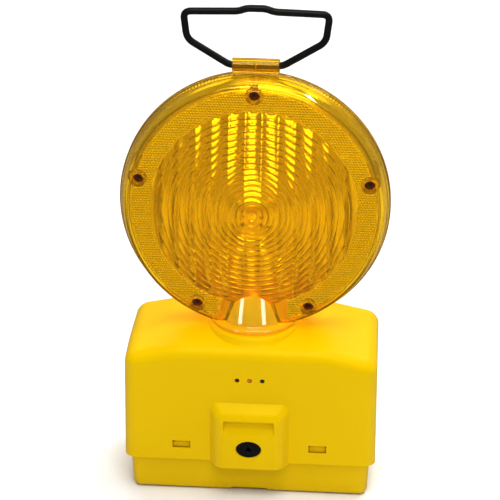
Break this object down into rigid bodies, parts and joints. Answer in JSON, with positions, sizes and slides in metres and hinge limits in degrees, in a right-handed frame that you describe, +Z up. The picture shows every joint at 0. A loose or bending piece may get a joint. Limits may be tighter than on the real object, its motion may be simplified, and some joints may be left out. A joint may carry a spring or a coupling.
{
  "type": "barricade warning light",
  "caption": "Battery warning light: yellow case with a lift-off hood, lock and underside bolt seat, a round amber two-faced lens head that swivels, and a folding wire handle.",
  "frame": {"origin": "on the floor, under the middle of the bounding box", "axes": "+Z up; -Y is the front, the side with the lock; the lens disc faces -Y and +Y; X across the lens"},
  "size_m": [0.2, 0.098, 0.3738],
  "materials": {
    "case_yellow": "moulded polyethylene, satin gloss",
    "post_yellow": "moulded, semi-gloss",
    "lens_amber": "clear amber polycarbonate with moulded prisms",
    "reflector_amber": "amber retroreflective, fine prisms",
    "black_plastic": "satin black",
    "handle_black": "black plastic coat over steel wire",
    "rubber_black": "matte",
    "steel": "zinc plated",
    "brass": "tinned strip",
    "battery_skin": "printed sleeve, plain colour",
    "board_green": "solder mask",
    "led_clear": "clear amber dome",
    "sensor_dark": "dark clear window"
  },
  "bodies": {
    "tray": {"base_tray": "case_yellow", "foot_fl": "rubber_black", "foot_fr": "rubber_black", "foot_rl": "rubber_black", "foot_rr": "rubber_black", "case_seal": "rubber_black", "mounting_nut": "steel", "battery_left": "battery_skin", "battery_right": "battery_skin", "battery_left_positive_spring": "steel", "battery_left_negative_spring": "steel", "battery_right_positive_spring": "steel", "battery_right_negative_spring": "steel"},
    "case_hood": {"hood": "case_yellow", "contact_carrier": "black_plastic", "carrier_screw_left": "steel", "carrier_screw_right": "steel", "contact_left_positive": "brass", "contact_left_negative": "brass", "contact_right_positive": "brass", "contact_right_negative": "brass", "led_socket": "black_plastic", "led_connector": "black_plastic", "control_board": "board_green", "board_screw_left": "steel", "board_screw_right": "steel", "controller_chip": "black_plastic", "light_sensor": "sensor_dark", "status_led": "led_clear", "button_switch": "black_plastic", "lock_bezel": "black_plastic", "neck_gasket": "lens_amber"},
    "lock": {"lock_barrel": "black_plastic", "lock_cam": "steel", "lock_clip": "steel"},
    "button": {"mode_button": "black_plastic"},
    "lens_head": {"lens_foot": "lens_amber", "retainer_ring": "steel", "front_lens": "lens_amber", "rear_lens": "lens_amber", "lens_gasket": "rubber_black", "reflector_front": "reflector_amber", "reflector_rear": "reflector_amber", "led_post": "post_yellow", "led_board_front": "black_plastic", "led_board_rear": "black_plastic", "led_front": "led_clear", "led_rear": "led_clear", "led_lead": "black_plastic", "lens_screw_1": "steel", "lens_screw_2": "steel", "lens_screw_3": "steel", "lens_screw_4": "steel", "lens_screw_5": "steel"},
    "carry_handle": {"handle": "handle_black"}
  },
  "joints": [
    {"name": "hood_lift", "type": "slide", "parent": "tray", "child": "case_hood", "axis": [0, 0, 1], "range_m": [0, 0.11]},
    {"name": "lock_turn", "type": "hinge", "parent": "case_hood", "child": "lock", "pos_m": [0, -0.049, 0.044], "axis": [0, -1, 0], "range_deg": [0, 90]},
    {"name": "button_press", "type": "slide", "parent": "case_hood", "child": "button", "axis": [0, 1, 0], "range_m": [0, 0.001], "stiffness_N_per_m": 300, "springref_m": -0.001},
    {"name": "head_swivel", "type": "hinge", "parent": "case_hood", "child": "lens_head", "pos_m": [0, 0.0045, 0.13], "axis": [0, 0, 1], "range_deg": [-90, 90]},
    {"name": "handle_fold", "type": "hinge", "parent": "lens_head", "child": "carry_handle", "pos_m": [0, 0.0045, 0.329], "axis": [1, 0, 0], "range_deg": [-120, 120]}
  ]
}
